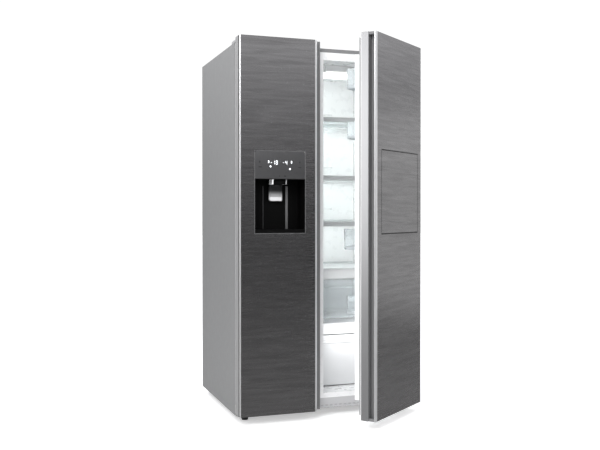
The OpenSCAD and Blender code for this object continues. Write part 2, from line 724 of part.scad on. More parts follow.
module cut_y(y, x0, x1, z0, z1) { blk([x0, y, z0], [x1, y + slit, z1]); }
module cut_z(z, x0, x1, y0, y1) { blk([x0, y0, z], [x1, y1, z + slit]); }
module core_cuts(lip) {
    g = lip - groove_d;
    cut_x(web_t - g, 0, door_back, door_z0 - eps, door_z1 + eps);
    cut_x(-strip_w - slit, 0, door_back, door_z0 + cap_t + boss_h, door_z1 - cap_t - boss_h);
    cut_y(door_back, -lip - body_w, 0, door_z0, door_z1);
    for (t = [0, 1]) {
        cut_z(t ? door_z1 - cap_t - boss_h : door_z0 + boss_h, -lip - body_w, 0, 0, door_back);
        cut_x(-boss_w - slit, 0, door_back, t ? door_z1 - cap_t - boss_h : door_z0 + cap_t + eps,
              t ? door_z1 - cap_t - eps : door_z0 + boss_h);
    }
}
module dike_cuts(x0, x1) {
    for (z = [dike_z0 + dike_w - liner_t - slit, dike_z1 - dike_w + liner_t])
        cut_z(z, x0, x1, door_back, door_t + dike_d);
}
module door_skin(lip) {
    blk([strip_w - lip, 0, door_z0], [-strip_w, skin_t, door_z1]);
}
module door_edges(lip, rear) {
    g = lip - groove_d;
    gy = 2 * edge_r + groove_w;
    difference() {
        union() {
            blk([-strip_w, 0, door_z0], [-edge_r, 2 * edge_r, door_z1]);
            rod_z(edge_r, door_z0, door_z1, -edge_r, edge_r);
            blk([-edge_wall - 2, edge_r, door_z0], [-2, 2 * edge_r + 3, door_z1]);
            blk([-edge_wall, 2 * edge_r + 3, door_z0], [0, door_back, door_z1]);
        }
        hinge_pocket();
    }
    difference() {
        union() {
            blk([edge_r - lip, 0, door_z0], [strip_w - lip, 2 * edge_r, door_z1]);
            rod_z(edge_r, door_z0, door_z1, edge_r - lip, edge_r);
            blk([strip_w - lip, skin_t, door_z0], [web_t - g, 2 * edge_r, door_z1]);
            blk([-g, edge_r + skin_t, door_z0], [web_t - g, gy + edge_wall, door_z1]);
            blk([-rear, gy, door_z0], [web_t - g, gy + edge_wall, door_z1]);
            blk([-rear, gy, door_z0], [edge_wall - rear, door_back, door_z1]);
        }
        cut_x(strip_w - lip, 0, 2 * edge_r + eps, door_z0 - eps, door_z1 + eps);
        cut_y(2 * edge_r, -g - eps, web_t - g + eps, door_z0 - eps, door_z1 + eps);
        cut_y(gy - slit, -g - eps, web_t - g + eps, door_z0 - eps, door_z1 + eps);
        cut_y(gy + edge_wall, -rear - eps, edge_wall - rear + eps, door_z0 - eps, door_z1 + eps);
    }
}
module door_caps(lip, rear) {
    difference() {
        union() {
            door_core(lip, rear, door_z0, door_z0 + cap_t);
            door_core(lip, rear, door_z1 - cap_t, door_z1);
            hinge_blocks();
        }
        hinge_pocket();
        cut_x(web_t - lip + groove_d, 0, door_back + eps, door_z0 - eps, door_z1 + eps);
        rod_z(pin_r + run, arm_z - pin_len - 4, door_z1, -pin_in, pin_back);
        rod_z(pin_r + run, 0, door_z0 + pin_len, -pin_in, pin_back);
    }
}
module dike(x0, x1, inset) {
    difference() {
        blk([x0 + inset, door_back + (inset > 0 ? 0 : 1), dike_z0 + inset],
            [x1 - inset, door_t + dike_d - inset, dike_z1 - inset]);
        blk([x0 + dike_w - inset, door_back - eps, dike_z0 + dike_w - inset],
            [x1 - dike_w + inset, door_t + dike_d + eps, dike_z1 - dike_w + inset]);
    }
}
module door_gasket(rear) {
    difference() {
        blk([4 - rear, door_t, door_z0 + gasket_in], [-gasket_side, cab_y - gap, door_z1 - gasket_in]);
        blk([4 - rear + gasket_w, door_t - eps, door_z0 + gasket_in + gasket_w],
            [-gasket_side - gasket_w, cab_y + eps, door_z1 - gasket_in - gasket_w]);
    }
}
module bin(x0, x1, y1, z0, h) {
    difference() {
        blk([x0, door_t, z0], [x1, y1, z0 + h]);
        blk([x0 + drawer_wall, door_t + drawer_wall, z0 + drawer_wall],
            [x1 - drawer_wall, y1 - drawer_wall, z0 + h + eps]);
    }
}

// left door
ld_x0 = frz_x0 + dike_in;
ld_x1 = frz_x1 - dike_in;
module dispenser_room() {
    blk([dis_x0, -eps, hatch_z0], [dis_x1, 40, hatch_z1]);
    blk([dis_x0, -eps, hatch_z0], [dis_x1, recess_d + wall, dis_z]);
    blk([dis_xm - chute_w / 2 - wall, chute_y0 - wall, dis_z - eps],
        [dis_xm + chute_w / 2 + wall, chute_y1 + wall, chute_z1 + wall]);
    blk([dis_xm - chute_w / 2 - wall, chute_y1, duct_z0 - wall],
        [dis_xm + chute_w / 2 + wall, bulge_y + eps, chute_z1 + wall]);
}
module left_bulge(inset) {
    blk([ld_x0 + dike_w - 1 + inset, door_back + (inset > 0 ? 0 : 1), hatch_z0 - 23 + inset],
        [ld_x1 - dike_w + 1 - inset, bulge_y - inset, hatch_z1 + 28 - inset]);
}
module dispenser_cuts() {
    cx0 = dis_xm - chute_w / 2 - wall;
    cx1 = dis_xm + chute_w / 2 + wall;
    top = chute_z1 + wall;
    for (z = [hatch_z0 - slit, hatch_z1])
        cut_z(z, xl, 0, 0, door_back);
    for (z = [hatch_z0 - slit, dis_z, duct_z0 - wall - slit, top])
        cut_z(z, ld_x0 + dike_w - 1, ld_x1 - dike_w + 1, door_back, bulge_y);
    cut_z(top, dis_x0, dis_x1, 0, door_back);
    for (x = [dis_x0 - slit, dis_x1])
        cut_x(x, 0, door_back, hatch_z0, hatch_z1);
    cut_x(dis_x1, door_back, bulge_y, hatch_z0, dis_z);
    for (x = [cx0 - slit, cx1])
        cut_x(x, 0, door_back, dis_z, top);
}
module left_skin() {
    color([0.3, 0.3, 0.31]) on_left() difference() {
        left_door() door_skin(left_lip);
        dispenser_room();
    }
}
module left_edges() { color([0.8, 0.8, 0.8]) on_left() left_door() door_edges(left_lip, left_rear); }
module left_caps() { color([0.4, 0.4, 0.41]) on_left() left_door() door_caps(left_lip, left_rear); }
module left_liner() {
    color([0.95, 0.95, 0.95]) on_left() difference() {
        union() {
            left_door() blk([-left_rear, door_back, door_z0], [0, door_t, door_z1]);
            dike(ld_x0, ld_x1, 0);
            left_bulge(0);
        }
        dike(ld_x0, ld_x1, liner_t);
        left_bulge(liner_t);
        dispenser_room();
        left_door() hinge_pocket();
    }
}
module left_foam() {
    color([0.93, 0.88, 0.66]) on_left() difference() {
        union() {
            left_door() door_core(left_lip, left_rear, door_z0 + cap_t, door_z1 - cap_t);
            dike(ld_x0, ld_x1, liner_t);
            left_bulge(liner_t);
        }
        left_door() hinge_blocks();
        left_door() hinge_pocket();
        dispenser_room();
        left_door() core_cuts(left_lip);
        dike_cuts(ld_x0, ld_x1);
        dispenser_cuts();
    }
}
module left_gasket() { color([0.6, 0.6, 0.6]) on_left() left_door() door_gasket(left_rear); }
left_bin_z = [door_z1 - 250, hatch_z1 + 70, hatch_z0 - 185, hatch_z0 - 400];
module left_bins() {
    color([0.85, 0.9, 0.92, 0.6]) on_left() for (z = left_bin_z)
        bin(ld_x0 + dike_w + 1, ld_x1 - dike_w - 1, door_t + 100, z, 86);
}
module dispenser_panel() {
    color([0.2, 0.2, 0.21]) on_left() {
        blk([dis_x0, 0, dis_z], [dis_x1, 5, hatch_z1]);
        blk([dis_x0 + 8, 4.5, dis_z + 8], [dis_x1 - 8, chute_y0 - wall - 1, hatch_z1 - 8]);
    }
}
lug = 4;
lug_x = paddle_w / 2 + 2;
module dispenser_housing() {
    cx0 = dis_xm - chute_w / 2;
    cx1 = dis_xm + chute_w / 2;
    color([0.04, 0.04, 0.04]) on_left() difference() {
        union() {
            difference() {
                blk([dis_x0, 0, hatch_z0], [dis_x1, recess_d + wall, dis_z]);
                blk([dis_x0 + wall, -eps, hatch_z0 + wall], [dis_x1 - wall, recess_d, dis_z - wall]);
            }
            blk([cx0 - wall, chute_y0 - wall, dis_z - funnel_h],
                [cx1 + wall, chute_y1 + wall, chute_z1 + wall]);
            blk([cx0 - wall, chute_y1, duct_z0 - wall], [cx1 + wall, bulge_y, chute_z1 + wall]);
            for (s = [-1, 1])
                blk([dis_xm + s * (lug_x + lug / 2) - lug / 2, paddle_y - 7, paddle_z - 7],
                    [dis_xm + s * (lug_x + lug / 2) + lug / 2, paddle_y + 7, dis_z - 1]);
        }
        blk([cx0, chute_y0, dis_z - funnel_h - eps], [cx1, chute_y1, chute_z1]);
        blk([cx0, chute_y1 - eps, duct_z0], [cx1, bulge_y + eps, chute_z1]);
        rod_x(3 + run, dis_xm - lug_x - lug - eps, dis_xm + lug_x + lug + eps, paddle_y, paddle_z);
        rod_x(2 + run, cx0 - wall - eps, cx1 + wall + eps, flap_y, flap_z);
    }
}
module drip_tray() {
    color([0.1, 0.1, 0.1]) on_left() difference() {
        blk([dis_x0 + wall + gap, 3, hatch_z0 + wall], [dis_x1 - wall - gap, recess_d - 2, hatch_z0 + 17]);
        blk([dis_x0 + wall + 4, 6, hatch_z0 + wall + 2], [dis_x1 - wall - 4, recess_d - 5, hatch_z0 + 14.5]);
        for (x = [dis_x0 + 16:12:dis_x1 - 24])
            blk([x, 12, hatch_z0 + 14], [x + 6, recess_d - 12, hatch_z0 + 18]);
    }
}
module dispenser_paddle() {
    color([0.4, 0.4, 0.41]) on_left() {
        rod_x(3, dis_xm - lug_x - lug, dis_xm + lug_x + lug, paddle_y, paddle_z);
        rod_x(5, dis_xm - paddle_w / 2, dis_xm + paddle_w / 2, paddle_y, paddle_z);
        blk([dis_xm - paddle_w / 2, paddle_y - 2, paddle_z - paddle_h + 9],
            [dis_xm + paddle_w / 2, paddle_y + 2, paddle_z]);
        blk([dis_xm - paddle_w / 2 + 9, paddle_y - 2, paddle_z - paddle_h],
            [dis_xm + paddle_w / 2 - 9, paddle_y + 2, paddle_z]);
        for (s = [-1, 1])
            rod_y(9, paddle_y - 2, paddle_y + 2, dis_xm + s * (paddle_w / 2 - 9), paddle_z - paddle_h + 9);
        rod_x(4, dis_xm - paddle_w / 2 + 9, dis_xm + paddle_w / 2 - 9, paddle_y - 4, paddle_z - paddle_h + 4);
    }
}
module ice_flap() {
    color([0.2, 0.2, 0.2]) on_left() {
        rod_x(2, dis_xm - chute_w / 2 - wall, dis_xm + chute_w / 2 + wall, flap_y, flap_z);
        blk([dis_xm - chute_w / 2 + 1, chute_y0 + 2, flap_z - 1],
            [dis_xm + chute_w / 2 - 1, flap_y, flap_z + 1]);
    }
}

// right door
rd_x0 = fri_x0 + dike_in;
rd_x1 = fri_x1 - dike_in;
module bar_cut(y0, y1, d) { blk([bar_x0 - d, y0, hatch_z0 - d], [bar_x1 + d, y1, hatch_z1 + d]); }
module right_skin() {
    color([0.36, 0.36, 0.37]) on_right() difference() {
        right_door() door_skin(right_lip);
        bar_cut(-eps, skin_t + eps, 0);
    }
}
module right_edges() { color([0.82, 0.82, 0.82]) on_right() right_door() door_edges(right_lip, right_rear); }
module right_caps() { color([0.45, 0.45, 0.46]) on_right() right_door() door_caps(right_lip, right_rear); }
module right_liner() {
    color([0.95, 0.95, 0.95]) on_right() difference() {
        union() {
            right_door() blk([-right_rear, door_back, door_z0], [0, door_t, door_z1]);
            dike(rd_x0, rd_x1, 0);
        }
        dike(rd_x0, rd_x1, liner_t);
        bar_cut(door_back - eps, door_t + eps, -bar_ledge);
        right_door() hinge_pocket();
    }
}
module right_foam() {
    color([0.93, 0.88, 0.66]) on_right() difference() {
        union() {
            right_door() door_core(right_lip, right_rear, door_z0 + cap_t, door_z1 - cap_t);
            dike(rd_x0, rd_x1, liner_t);
        }
        right_door() hinge_blocks();
        right_door() hinge_pocket();
        bar_cut(0, door_t, frame_t);
        right_door() core_cuts(right_lip);
        dike_cuts(rd_x0, rd_x1);
        for (z = [hatch_z0 - frame_t - slit, hatch_z1 + frame_t])
            cut_z(z, -xr, xr, 0, door_back);
    }
}
module right_gasket() { color([0.6, 0.6, 0.6]) on_right() right_door() door_gasket(right_rear); }
module right_bins() {
    x0 = rd_x0 + dike_w + 1;
    x1 = rd_x1 - dike_w - 1;
    color([0.85, 0.9, 0.92, 0.6]) on_right() {
        bin(x0, x1, door_t + 117, door_z1 - 238, 93);
        bin(x0, x1, door_t + 117, hatch_z1 + 57, 79);
        bin(x0, x1, door_t + 132, hatch_z0 - 77, 96);
        bin(x0, x1, door_t + 117, hatch_z0 - 375, 83);
    }
}
module bar_frame() {
    color([0.85, 0.85, 0.85]) on_right() {
        difference() {
            bar_cut(skin_t, door_back, frame_t);
            bar_cut(-eps, bar_stop, 0);
            bar_cut(-eps, door_t, -bar_ledge);
        }
        rod_x(bar_pin_r, bar_x0 - 1, bar_x0 + 9, bar_pin_y, bar_pin_z);
        rod_x(bar_pin_r, bar_x1 - 9, bar_x1 + 1, bar_pin_y, bar_pin_z);
    }
}
module bar_bores() {
    rod_x(bar_pin_r + run, bar_x0 - eps, bar_x0 + 11, bar_pin_y, bar_pin_z);
    rod_x(bar_pin_r + run, bar_x1 - 11, bar_x1 + eps, bar_pin_y, bar_pin_z);
}
module bar_skin() {
    color([0.36, 0.36, 0.37]) on_right()
        blk([bar_x0 + bar_gap, 0, hatch_z0 + 2], [bar_x1 - bar_gap, skin_t, hatch_z1 - bar_gap]);
}
module bar_liner() {
    color([0.93, 0.93, 0.93]) on_right() difference() {
        blk([bar_x0 + bar_gap, skin_t, hatch_z0 + 2], [bar_x1 - bar_gap, bar_t, hatch_z1 - bar_gap]);
        bar_bores();
        bar_cut(bar_t - 9, bar_t + eps, -46);
        bar_cut(skin_t - eps, bar_t - 9 - wall, -20);
    }
}

cabinet_shell();
back_panel();
base_frame();
insulation_foam();
freezer_liner();
fridge_liner();
post_cover();
toe_grille();
door_hinges();
hinge_covers();
water_valve();
power_inlet();
compressor();
condenser();
fan_motors();
machine_cover();
evaporator();
evaporator_cover();
fridge_duct();
lamp_housings();
lamp_lenses();
shelf_glass();
shelf_trims();
crisper_cover();
drawer_divider();
freezer_shelves();
ice_maker();
ice_bucket();
foot_left();
foot_right();
rear_rollers();
condenser_fan();
evaporator_fan();
ice_auger();
shallow_tray();
crisper_drawer();
lower_drawer();
freezer_drawer();
left_skin();
left_edges();
left_caps();
left_liner();
left_foam();
left_gasket();
left_bins();
dispenser_panel();
dispenser_housing();
drip_tray();
dispenser_paddle();
ice_flap();
right_skin();
right_edges();
right_caps();
right_liner();
right_foam();
right_gasket();
right_bins();
bar_frame();
bar_skin();
bar_liner();
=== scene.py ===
import json
import math

import bmesh
import bpy
import numpy as np
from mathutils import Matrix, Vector


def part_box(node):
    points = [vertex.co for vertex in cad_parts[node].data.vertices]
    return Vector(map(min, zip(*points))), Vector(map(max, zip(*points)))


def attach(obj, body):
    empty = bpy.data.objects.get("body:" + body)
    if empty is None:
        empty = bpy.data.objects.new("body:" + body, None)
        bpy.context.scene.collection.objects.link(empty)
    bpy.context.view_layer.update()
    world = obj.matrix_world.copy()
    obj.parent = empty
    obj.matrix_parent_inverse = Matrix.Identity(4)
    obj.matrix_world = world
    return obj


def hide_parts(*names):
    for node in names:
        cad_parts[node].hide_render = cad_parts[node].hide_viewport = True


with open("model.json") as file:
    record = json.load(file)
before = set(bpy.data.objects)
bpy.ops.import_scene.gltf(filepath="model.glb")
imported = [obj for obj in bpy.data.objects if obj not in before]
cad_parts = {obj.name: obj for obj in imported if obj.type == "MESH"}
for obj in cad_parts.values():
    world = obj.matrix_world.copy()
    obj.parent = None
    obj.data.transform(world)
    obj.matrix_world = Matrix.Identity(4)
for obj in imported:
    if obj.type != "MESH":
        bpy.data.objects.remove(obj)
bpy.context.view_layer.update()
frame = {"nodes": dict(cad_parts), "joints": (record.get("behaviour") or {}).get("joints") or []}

# ------------------------------------------------------------------ camera and studio
# The refrigerator stands on a pale floor in front of nothing, lit by large soft boxes.
# Lengths are millimetres from the middle of the cabinet, the closed door fronts and the floor.
MM = 0.001
cabinet_low, cabinet_high = (np.array(corner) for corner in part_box("cabinet_shell"))
skin_low, skin_high = (np.array(corner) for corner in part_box("left_skin"))
ORIGIN = np.array([(cabinet_low[0] + cabinet_high[0]) / 2, skin_low[1], 0.0])
DOOR_Z0, DOOR_Z1 = skin_low[2] / MM, skin_high[2] / MM
scene = bpy.context.scene
scene.view_settings.view_transform = "Standard"


def place(points):
    """Millimetres from the cabinet's middle, the door fronts and the floor, into the frame."""
    return np.asarray(points, float) * MM + ORIGIN


eye = bpy.data.cameras.new("camera")
eye.lens = 49.51
eye.sensor_width = 36.0
eye.shift_y = -0.0107
camera = bpy.data.objects.new("camera", eye)
scene.collection.objects.link(camera)
camera.location = place([-1421.0, -3633.5, 983.35])
camera.rotation_euler = (math.radians(90) - 0.0086, 0.0, -0.3349)
scene.camera = camera


def softbox(name, where, aim, size, power):
    """A flat white light at one point, turned to face another."""
    lamp = bpy.data.lights.new(name, "AREA")
    lamp.shape = "RECTANGLE"
    lamp.size, lamp.size_y = size
    lamp.energy = power
    light = bpy.data.objects.new(name, lamp)
    scene.collection.objects.link(light)
    start, end = place(where), place(aim)
    light.location = start
    light.rotation_euler = Vector(end - start).to_track_quat("-Z", "Y").to_euler()
    return light


softbox("key", (-3200, -3600, 3600), (0, 300, 900), (2.6, 2.2), 150)
softbox("fill", (3400, -3200, 2200), (0, 300, 900), (2.0, 2.4), 8)
softbox("right", (6200, 900, 980), (200, 0, 980), (3.2, 2.4), 14)
softbox("right_low", (6200, 900, -950), (200, 0, 300), (3.2, 1.2), 0.6)
softbox("top", (0, 300, 4200), (0, 300, 0), (4.0, 4.0), 60)
softbox("side", (-5200, -500, 1650), (-400, 100, 1150), (2.4, 2.4), 34)

world = bpy.data.worlds.new("studio")
scene.world = world
world.use_nodes = True
sky = world.node_tree
sky.nodes.clear()
sky_out = sky.nodes.new("ShaderNodeOutputWorld")
backdrop = sky.nodes.new("ShaderNodeBackground")
backdrop.inputs["Color"].default_value = (1.0, 1.0, 1.0, 1.0)
backdrop.inputs["Strength"].default_value = 1.05
ambient = sky.nodes.new("ShaderNodeBackground")
ambient.inputs["Strength"].default_value = 0.9
which = sky.nodes.new("ShaderNodeLightPath")
blend = sky.nodes.new("ShaderNodeMixShader")
where = sky.nodes.new("ShaderNodeTexCoord")
split = sky.nodes.new("ShaderNodeSeparateXYZ")
rise = sky.nodes.new("ShaderNodeValToRGB")
sky.links.new(where.outputs["Generated"], split.inputs[0])
level = sky.nodes.new("ShaderNodeMapRange")
level.inputs["From Min"].default_value = -1.0
sky.links.new(split.outputs["Z"], level.inputs["Value"])
sky.links.new(level.outputs[0], rise.inputs["Fac"])
sky.links.new(rise.outputs["Color"], ambient.inputs["Color"])
sky.links.new(which.outputs["Is Camera Ray"], blend.inputs[0])
sky.links.new(ambient.outputs[0], blend.inputs[1])
sky.links.new(backdrop.outputs[0], blend.inputs[2])
sky.links.new(blend.outputs[0], sky_out.inputs[0])
# Its tone by height of direction, 0 straight down, 0.5 level and 1 straight up.
steps = rise.color_ramp.elements
steps[0].position, steps[0].color = 0.40, (0.30, 0.30, 0.30, 1)
steps[1].position, steps[1].color = 0.68, (1.0, 1.0, 1.01, 1)
for position, tone in ((0.46, 0.02), (0.53, 0.015), (0.575, 0.50), (0.61, 0.98)):
    step = steps.new(position)
    step.color = (tone, tone, tone * 1.02, 1)


# ------------------------------------------------------------------ floor
# A plain pale studio floor under the feet and rollers.
def grid(points, wrap_u=False, wrap_v=False):
    """A surface from points (rows, columns, 3) in metres: each four neighbours make one face."""
    rows, cols = points.shape[:2]
    u, v = np.meshgrid(np.arange(rows - (not wrap_u)), np.arange(cols - (not wrap_v)), indexing="ij")
    u2, v2 = (u + 1) % rows, (v + 1) % cols
    quads = np.stack([u * cols + v, u2 * cols + v, u2 * cols + v2, u * cols + v2], -1)
    return points.reshape(-1, 3), quads.reshape(-1, 4).tolist()


def build(name, parts, finish):
    """One object with one finish from several (points, faces) skins, facing outward."""
    points, faces, start = [], [], 0
    for p, f in parts:
        points.append(p)
        faces += [[i + start for i in face] for face in f]
        start += len(p)
    mesh = bpy.data.meshes.new(name)
    mesh.from_pydata(np.concatenate(points).tolist(), [], faces)
    shell = bmesh.new()
    shell.from_mesh(mesh)
    bmesh.ops.recalc_face_normals(shell, faces=shell.faces)
    shell.to_mesh(mesh)
    shell.free()
    mesh.shade_smooth()
    mesh.set_sharp_from_angle(angle=math.radians(32))
    mesh.materials.append(finish)
    obj = bpy.data.objects.new(name, mesh)
    scene.collection.objects.link(obj)
    return obj


def shader_of(finish):
    """The Principled shader of a finish, to set a value that its maker leaves alone."""
    return finish.node_tree.nodes["Principled BSDF"]


def glow(finish, colour, strength):
    """Lets a finish give light of its own."""
    shader = shader_of(finish)
    shader.inputs["Emission Color"].default_value = (*colour, 1.0)
    shader.inputs["Emission Strength"].default_value = strength


def base_finish(name, colour, rough, metal=0.0, coat=0.0):
    """A new finish with one Principled shader set to plain values: (finish, node tree, shader)."""
    finish = bpy.data.materials.new(name)
    finish.use_nodes = True
    tree = finish.node_tree
    shader = shader_of(finish)
    shader.inputs["Base Color"].default_value = (*colour, 1.0)
    shader.inputs["Roughness"].default_value = rough
    shader.inputs["Metallic"].default_value = metal
    shader.inputs["Coat Weight"].default_value = coat
    return finish, tree, shader


def noise(tree, scale, detail=2.0, stretch=(1, 1, 1), bend=0.0):
    """Noise on object coordinates, squeezed along the axes by stretch."""
    coords = tree.nodes.new("ShaderNodeTexCoord")
    mapping = tree.nodes.new("ShaderNodeMapping")
    mapping.inputs["Scale"].default_value = stretch
    cloud = tree.nodes.new("ShaderNodeTexNoise")
    cloud.inputs["Scale"].default_value = scale
    cloud.inputs["Detail"].default_value = detail
    cloud.inputs["Distortion"].default_value = bend
    tree.links.new(coords.outputs["Object"], mapping.inputs[0])
    tree.links.new(mapping.outputs[0], cloud.inputs["Vector"])
    return cloud.outputs["Fac"]


def spread(tree, value, low, high):
    """Spreads the middle of a noise value, 0.3 to 0.7, over low to high."""
    node = tree.nodes.new("ShaderNodeMapRange")
    node.inputs["From Min"].default_value = 0.3
    node.inputs["From Max"].default_value = 0.7
    node.inputs["To Min"].default_value = low
    node.inputs["To Max"].default_value = high
    tree.links.new(value, node.inputs["Value"])
    return node.outputs[0]


def blend_of(tree, value, first, second):
    """Mixes two colours by a value."""
    node = tree.nodes.new("ShaderNodeMix")
    node.data_type = "RGBA"
    node.inputs["A"].default_value = (*first, 1.0)
    node.inputs["B"].default_value = (*second, 1.0)
    tree.links.new(value, node.inputs["Factor"])
    return node.outputs["Result"]


def relief(tree, shader, value, strength, distance):
    """Raises the surface by a value, in metres."""
    node = tree.nodes.new("ShaderNodeBump")
    node.inputs["Strength"].default_value = strength
    node.inputs["Distance"].default_value = distance
    tree.links.new(value, node.inputs["Height"])
    tree.links.new(node.outputs[0], shader.inputs["Normal"])


def moulded(name, colour, rough=0.35, grain=900.0, depth=0.00006, coat=0.0, vary=0.03):
    """Moulded plastic or paint: a fine orange peel, and faint changes of tone and gloss."""
    finish, tree, shader = base_finish(name, colour, rough, 0.0, coat)
    dark = tuple(c * (1 - vary) for c in colour)
    light = tuple(min(1.0, c * (1 + vary)) for c in colour)
    tree.links.new(blend_of(tree, noise(tree, 9.0, 3.0), dark, light), shader.inputs["Base Color"])
    gloss = spread(tree, noise(tree, 30.0, 2.0), rough * 0.95, rough * 1.05)
    tree.links.new(gloss, shader.inputs["Roughness"])
    relief(tree, shader, noise(tree, grain, 2.0), 0.25, depth)
    return finish


REACH = 30000.0
floor_paper = moulded("floor_paper", (0.93, 0.93, 0.93), 0.8, 300.0)
glow(floor_paper, (1.0, 1.0, 1.0), 0.45)
sheet = [[[-REACH, -REACH, 0], [REACH, -REACH, 0]], [[-REACH, REACH, 0], [REACH, REACH, 0]]]
floor = build("studio_floor", [grid(place(sheet))], floor_paper)
floor.visible_glossy = False
floor.visible_shadow = False


# ------------------------------------------------------------------ cabinet wrap and back
# Painted steel folded over the sides and top, a plain zinc sheet behind, a black steel pan below,
# and pale foam inside, which shows at most as a thin line where two covers meet.
def wear(finish, *nodes):
    """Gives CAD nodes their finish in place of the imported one."""
    for node in nodes:
        slots = frame["nodes"][node].data.materials
        slots.clear()
        slots.append(finish)


wear(moulded("cabinet_paint", (0.215, 0.217, 0.220), 0.45, 420.0, 0.00008, 0.1, 0.015), "cabinet_shell")
wear(moulded("zinc_sheet", (0.40, 0.41, 0.42), 0.42, 220.0, 0.0001, 0.1, 0.03), "back_panel")
wear(moulded("chassis_black", (0.05, 0.05, 0.055), 0.5, 500.0), "base_frame")
wear(moulded("cut_foam", (0.84, 0.82, 0.76), 0.9, 500.0, 0.0004),
     "insulation_foam", "left_foam", "right_foam")

# ------------------------------------------------------------------ liners and sills
# White vacuum-formed plastic, glossy, with the shelf ledges formed in its walls.
liner_white = moulded("liner_white", (0.86, 0.865, 0.87), 0.28, 700.0, 0.00001, 0.2, 0.01)
wear(liner_white, "freezer_liner", "fridge_liner", "left_liner", "right_liner", "post_cover",
     "lamp_housings", "evaporator_cover", "fridge_duct")
sill_grey = moulded("sill_grey", (0.50, 0.50, 0.51), 0.4, 700.0)
wear(sill_grey, "toe_grille")


# ------------------------------------------------------------------ hinges and hidden machinery
# Zinc-plated hinge plates, black compressor, condenser and fans, aluminium evaporator fins.
def metal(name, colour, rough, grain, stretch):
    """Bare metal: fine scratches along one direction change its tone, gloss and height."""
    finish, tree, shader = base_finish(name, colour, rough, 1.0)
    lines = noise(tree, grain, 3.0, stretch)
    tree.links.new(spread(tree, lines, rough * 0.95, rough * 1.05), shader.inputs["Roughness"])
    dark = tuple(c * 0.94 for c in colour)
    tree.links.new(blend_of(tree, spread(tree, lines, 0, 1), dark, colour), shader.inputs["Base Color"])
    relief(tree, shader, lines, 0.1, 0.00001)
    return finish


wear(metal("hinge_zinc", (0.62, 0.62, 0.60), 0.35, 300.0, (1, 1, 6)), "door_hinges")
wear(metal("fin_aluminium", (0.72, 0.73, 0.75), 0.4, 260.0, (1, 1, 8)), "evaporator", "ice_auger")
wear(moulded("black_enamel", (0.02, 0.02, 0.022), 0.3, 500.0, 0.0001, 0.3), "compressor", "condenser")
black_plastic = moulded("black_plastic", (0.015, 0.015, 0.016), 0.42, 900.0)
wear(black_plastic, "fan_motors", "power_inlet", "condenser_fan")
white_plastic = moulded("white_plastic", (0.80, 0.81, 0.82), 0.32, 500.0)
wear(white_plastic, "water_valve", "evaporator_fan", "ice_maker", "freezer_shelves", "bar_liner")
grey_plastic = moulded("grey_plastic", (0.36, 0.36, 0.37), 0.5, 800.0)
wear(grey_plastic, "machine_cover", "bar_frame")

# ------------------------------------------------------------------ lamps
# Frosted lenses under the ceiling lamps. Small lights behind the front rails of the shelves, and
# in front of the drawers, stand for the glow that fills each bay: (y, z, power) for each.
lamp_glow, lamp_tree, lamp_shader = base_finish("lamp_lens", (1.0, 0.98, 0.95), 0.4)
glow(lamp_glow, (1.0, 0.985, 0.95), 0.9)
relief(lamp_tree, lamp_shader, noise(lamp_tree, 200.0), 0.3, 0.0002)
wear(lamp_glow, "lamp_lenses")
FRIDGE_X, FREEZER_X = 197, -238
fridge_glow = ((238, 1650, 0.55), (238, 1395, 0.52), (238, 1125, 0.5), (238, 890, 0.5), (238, 640, 0.3),
               (110, 640, 0.12), (110, 380, 0.26))
for bay, (lamp_y, lamp_z, power) in enumerate(fridge_glow):
    softbox(f"bay_light_{bay + 1}", (FRIDGE_X, lamp_y, lamp_z), (FRIDGE_X, 640, lamp_z - 140),
            (0.30, 0.06), power)
for bay, lamp_z in enumerate((1650.0, 1150.0, 780.0)):
    softbox(f"freezer_light_{bay + 1}", (FREEZER_X, 215, lamp_z), (FREEZER_X, 620, lamp_z - 140),
            (0.24, 0.06), 0.22)


# ------------------------------------------------------------------ door steel
# Dark brushed stainless sheet, its grain running across the door in fine wavy lines.
def brushed(name, colour, rough):
    """Brushed sheet: long fine noise across the door, bent by itself, over a slow cloud."""
    finish, tree, shader = base_finish(name, colour, rough, 1.0)
    long_lines = noise(tree, 8.0, 6.0, (0.6, 0.6, 9.0), 0.9)
    fine_lines = noise(tree, 40.0, 3.0, (0.5, 0.5, 30.0), 0.2)
    tone = spread(tree, long_lines, 0.0, 1.0)
    dark = tuple(c * 0.84 for c in colour)
    light = tuple(c * 1.16 for c in colour)
    tree.links.new(blend_of(tree, tone, dark, light), shader.inputs["Base Color"])
    tree.links.new(spread(tree, fine_lines, rough * 0.85, rough * 1.2), shader.inputs["Roughness"])
    relief(tree, shader, fine_lines, 0.15, 0.00004)
    return finish


door_steel = brushed("door_steel", (0.335, 0.33, 0.335), 0.25)
wear(door_steel, "left_skin", "right_skin", "bar_skin")
wear(moulded("cap_grey", (0.12, 0.12, 0.125), 0.45, 800.0), "left_caps", "right_caps")


# ------------------------------------------------------------------ door gaskets
# Soft grey bellows seals with a magnet bulb, 14 wide, pushed into the door liner all round.
def swing(points):
    """The right door stands open: points of the closed door turn about its hinge pin."""
    pin = np.array([*right_hinge["pos_m"][:2], 0.0])
    angle = -math.radians(right_hinge["range_deg"][0])
    turn = np.array([[math.cos(angle), math.sin(angle), 0.0],
                     [-math.sin(angle), math.cos(angle), 0.0], [0.0, 0.0, 1.0]])
    return (place(points) - pin) @ turn + pin


def fit(piece, body, material_slot, *nodes):
    """A finished piece rides its body and stands for the CAD nodes it replaces; material_slot is not used."""
    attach(piece, body)
    if nodes:
        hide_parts(*nodes)
    return piece


